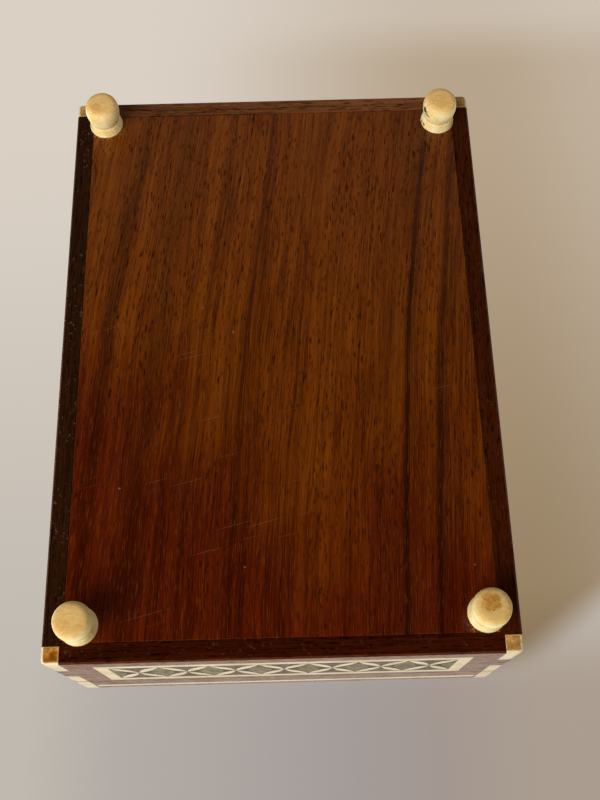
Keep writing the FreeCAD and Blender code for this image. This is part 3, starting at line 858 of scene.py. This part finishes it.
def dress():
    """Materials and pieces of the whole box."""
    foot_places = {mount["name"]: Vector(mount["pos_m"]) for mount in frame["record"]["mounts"]}
    glued_feet = [foot_places["front_right_foot"], foot_places["back_left_foot"]]
    panel = rosewood(
        "rosewood_base", PANEL_TONES, slope=0.1, bow=0.0004, veins=PANEL_VEINS, shaded_end=PANEL_SHADED_END,
        glue=glued_feet, gloss=0.08, under_shine=0.4,
    )
    lid_top = rosewood("rosewood_lid", PANEL_TONES, seed=40.0, slope=-0.05, bow=0.0003, veins=LID_VEINS)
    board_looks = {
        "front": {"along": "X", "seed": 11.0, "scuffs": 0.55},
        "back": {"along": "X", "seed": 23.0, "slope": 0.02, "scuffs": 0.2},
        "left": {"along": "Y", "seed": 37.0, "scuffs": 0.3},
        "right": {"along": "Y", "seed": 53.0},
    }
    boards = {}
    for side, look in board_looks.items():
        boards[side] = rosewood("rosewood_" + side, WALL_TONES, under=UNDER_TONES_AND_SHEEN[side], **look)
    inlay_x = bone("bone_along_x", "X")
    inlay_y = bone("bone_along_y", "Y", seed=9.0)
    block = bone("bone_block", "Z", seed=21.0, seam=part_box("lid_corner_bones")[0].z / MM)
    foot_end = bone_end("bone_block_end", stain=0.85, corner_stain=0.15)
    top_end = bone_end("bone_top_end", stain=0.2, corner_stain=0.1)
    tiles = {
        "leaves": bone("bone_leaf", "X", seed=33.0),
        "eye_fields": tile("dark_wood", DARK_WOOD, seed=1.0),
        "triangles": tile("brown_wood", BROWN_WOOD, seed=5.0),
        "diamonds": tile("green_bone", GREEN_BONE, seed=9.0),
    }
    metal = brass("old_brass")

    make_feet(foot_places)
    softened("base_panel", [panel], PANEL_EDGE)
    softened("lid_panel", [lid_top], LID_EDGE)
    for side, board in boards.items():
        softened(side + "_wall", [board], BOARD_EDGE)
        softened("lid_" + side + "_rail", [board], BOARD_EDGE)
        inlay = inlay_x if side in ("front", "back") else inlay_y
        softened("lid_" + side + "_line", [inlay], INLAY_EDGE)
        picture_frame(side + "_band_frame", BAND_FRAME, INLAY_EDGE, [inlay])
        make_band(side + "_band", tiles)
    picture_frame("lid_top_border", LID_BORDER, INLAY_EDGE, [inlay_x])
    picture_frame("lid_top_band_frame", BAND_FRAME, INLAY_EDGE, [inlay_x])
    make_band("lid_top_band", tiles)
    block_ends = {
        "lower_corner_bones": foot_end,
        "upper_corner_bones": top_end,
        "lid_corner_bones": top_end,
    }
    for node, end in block_ends.items():
        softened(node, [block, end], BLOCK_EDGE, is_level)
    for node, shape in nodes.items():
        if "hinge" in node or node.endswith("_nails"):
            shape.data.materials.clear()
            shape.data.materials.append(metal)


# Stage, light and camera

TABLE_LEVEL = 0.6
TABLE_LOW = Vector((-0.12, -0.34))
TABLE_HIGH = Vector((0.72, 0.36))
FLOOR_REACH = 6.0
CAMERA_PLACE = Vector((-0.09749, 0.00426, -0.20281))
CAMERA_LOOK = Vector((0.39942, 0.00373, 1.0))
CAMERA_ROLL = math.radians(1.436)
FOCAL_PIXELS = 1000
IMAGE_HEIGHT = 800
SENSOR_WIDTH = 36.0
NEAREST_SEEN = 0.01
SUN_SIZE = math.radians(30)
BOX_MIDDLE = Vector((0, 0, 0.02))
FLOOR_TONES = ((0.70, 0.665, 0.62), (0.74, 0.705, 0.66))
# Painted light on the table: dimmer near the box and brighter far off, with the box's painted shadow in
# warm shade and painted cooler shade in front
TABLE_NEAR_SHADED = (0.525, 0.485, 0.43)
TABLE_FAR_LIT = (0.70, 0.63, 0.555)
WARM_SHADE = (0.533, 0.40, 0.23)
FRONT_LOW = -210.0
FRONT_HIGH = 230.0
FRONT_SHADE_TINTS = (
    (0.0, (1.0, 1.0, 1.0)), (0.16, (0.86, 0.85, 0.89)), (0.58, (0.70, 0.675, 0.73)),
    (0.73, (0.70, 0.64, 0.65)), (0.9, (0.77, 0.69, 0.64)),
)
ROOM_TONES = (
    (0.06, (0.03, 0.028, 0.025)), (0.1, (0.26, 0.24, 0.215)), (0.5, (0.30, 0.28, 0.25)),
    (0.7, (0.45, 0.42, 0.38)), (1.0, (0.60, 0.53, 0.44)),
)
SEEN_ROOM = (0.711, 0.634, 0.538)


def plane(name, low, high, level, facing):
    """Flat stage piece that faces up or down."""
    mesh = bpy.data.meshes.new(name)
    corners = [(low.x, low.y, 0), (high.x, low.y, 0), (high.x, high.y, 0), (low.x, high.y, 0)]
    mesh.from_pydata(corners[::facing], [], [(0, 1, 2, 3)])
    made = bpy.data.objects.new(name, mesh)
    made.location.z = level
    bpy.context.scene.collection.objects.link(made)
    return made


def one_sided(shader, surface):
    """Ends a stage material that shows only on its front and only to the camera."""
    seen = shader.node("LightPath", {}).outputs["Is Camera Ray"]
    back = shader.node("NewGeometry", {}).outputs["Backfacing"]
    shown = shader.times(seen, shader.one_minus(back))
    clear = shader.node("BsdfTransparent", {}).outputs[0]
    mixed = shader.node("MixShader", {0: shown, 1: clear, 2: surface}).outputs[0]
    output = shader.node("OutputMaterial", {})
    shader.tree.links.new(mixed, output.inputs[0])
    return shader.owner


def floor_material():
    """Plain pale floor with a faint mottle."""
    shader = Shader(bpy.data.materials.new("pale_floor"))
    x, y, _ = shader.place()
    mottle = shader.noise(shader.vector(shader.times(x, 0.02), shader.times(y, 0.02), 0.0), 3.0)
    colour = shader.ramp(mottle, (0.3, FLOOR_TONES[0]), (0.7, FLOOR_TONES[1]))
    surface = shader.node("BsdfDiffuse", {0: colour}).outputs[0]
    return one_sided(shader, surface)


def table_material():
    """Pale glowing table behind the upturned box, with painted light and shade: warm shade at the right,
    cooler in front.

    The warm shade is the box's painted shadow: it lies beside the box, fades to the far end and to the
    right, and ends at a slanted line. The painted light grows brighter towards the far end.
    """
    shader = Shader(bpy.data.materials.new("pale_table"))
    x, y, _ = shader.place()
    # painted light: dimmer near the box, brighter towards the far end
    colour = shader.mix(shader.rise(x, -80.0, 520.0), TABLE_NEAR_SHADED, TABLE_FAR_LIT)
    farther = shader.add(0.75, shader.times(shader.rise(y, 330.0, 190.0), 0.25))
    beside = shader.times(shader.rise(y, -150.0, 170.0), farther)
    nearer = shader.add(0.68, shader.times(shader.rise(x, 600.0, -60.0), 0.26))
    last = shader.one_minus(shader.times(shader.rise(x, 575.0, 650.0), 0.5))
    edge = shader.rise(shader.math("SUBTRACT", x, shader.times(y, 0.7)), -143.0, -104.0)
    behind = shader.rise(x, -15.0, 12.0)
    shade = shader.times(beside, nearer, last, edge, behind)
    colour = shader.mix(shade, colour, WARM_SHADE, "MULTIPLY")
    # painted cooler shade in front of the box
    along_front = shader.node("MapRange", {"Value": y, "From Min": FRONT_LOW, "From Max": FRONT_HIGH})
    tints = shader.ramp(along_front.outputs[0], *FRONT_SHADE_TINTS)
    colour = shader.mix(shader.rise(x, 70.0, -30.0), colour, tints, "MULTIPLY")
    # the table glows with its painted light and shade
    surface = shader.node("Emission", {0: colour, 1: 1.0}).outputs[0]
    return one_sided(shader, surface)


def aimed(name, data, place):
    """Puts a light into the scene at a place, pointing at the middle of the box."""
    made = bpy.data.objects.new(name, data)
    made.location = place
    made.rotation_euler = (BOX_MIDDLE - made.location).to_track_quat("-Z", "Y").to_euler()
    bpy.context.scene.collection.objects.link(made)
    return made


def lamp(name, place, size, power, colour):
    """Square soft lamp."""
    data = bpy.data.lights.new(name, "AREA")
    data.size = size
    data.energy = power
    data.color = colour
    return aimed(name, data, place)


def sun(name, place, power, colour):
    """Soft even light from far away."""
    data = bpy.data.lights.new(name, "SUN")
    data.angle = SUN_SIZE
    data.energy = power
    data.color = colour
    return aimed(name, data, place)


def make_world():
    """Plain pale surroundings: dimmer from below, and of one beige for the camera."""
    world = bpy.data.worlds.new("pale_room")
    bpy.context.scene.world = world
    shader = Shader(world)
    direction = shader.node("TexCoord", {}).outputs["Generated"]
    height = shader.node("SeparateXYZ", {0: direction}).outputs[2]
    share = shader.node("MapRange", {"Value": height, "From Min": -1.0}).outputs[0]
    light = shader.ramp(share, *ROOM_TONES)
    seen = shader.node("LightPath", {}).outputs["Is Camera Ray"]
    background = shader.node("Background", {0: shader.mix(seen, light, SEEN_ROOM)}).outputs[0]
    output = shader.node("OutputWorld", {})
    shader.tree.links.new(background, output.inputs[0])


def make_camera():
    """Camera at the place and angle of the photograph, which looks up at the underside."""
    data = bpy.data.cameras.new("camera")
    data.sensor_width = SENSOR_WIDTH
    data.lens = data.sensor_width * FOCAL_PIXELS / IMAGE_HEIGHT
    data.clip_start = NEAREST_SEEN
    camera = bpy.data.objects.new("camera", data)
    forward = CAMERA_LOOK.normalized()
    up_hint = Vector((math.cos(CAMERA_ROLL), math.sin(CAMERA_ROLL), 0))
    right = forward.cross(up_hint).normalized()
    up = right.cross(forward)
    turn = Matrix((right, up, -forward)).transposed()
    camera.matrix_world = Matrix.Translation(CAMERA_PLACE) @ turn.to_4x4()
    bpy.context.scene.collection.objects.link(camera)
    bpy.context.scene.camera = camera


def make_stage():
    """Floor for the upright box, table behind the upturned one, lamps, surroundings and camera."""
    far = Vector((FLOOR_REACH, FLOOR_REACH))
    plane("floor", -far, far, 0.0, 1).data.materials.append(floor_material())
    plane("table", TABLE_LOW, TABLE_HIGH, TABLE_LEVEL, -1).data.materials.append(table_material())
    lamp("window", (-0.40, -0.34, -0.34), 0.42, 4.6, (1.0, 0.94, 0.86)).visible_glossy = False
    lamp("low_fill", (0.10, 0.55, -0.28), 0.35, 0.4, (1.0, 0.86, 0.70)).visible_glossy = False
    sun("daylight", (0.30, -0.50, 0.70), 1.5, (1.0, 0.97, 0.93))
    sun("back_light", (-0.40, 0.60, 0.55), 0.6, (1.0, 0.96, 0.92)).visible_glossy = False
    make_world()
    make_camera()
    bpy.context.scene.view_settings.view_transform = "Standard"


dress()
make_stage()
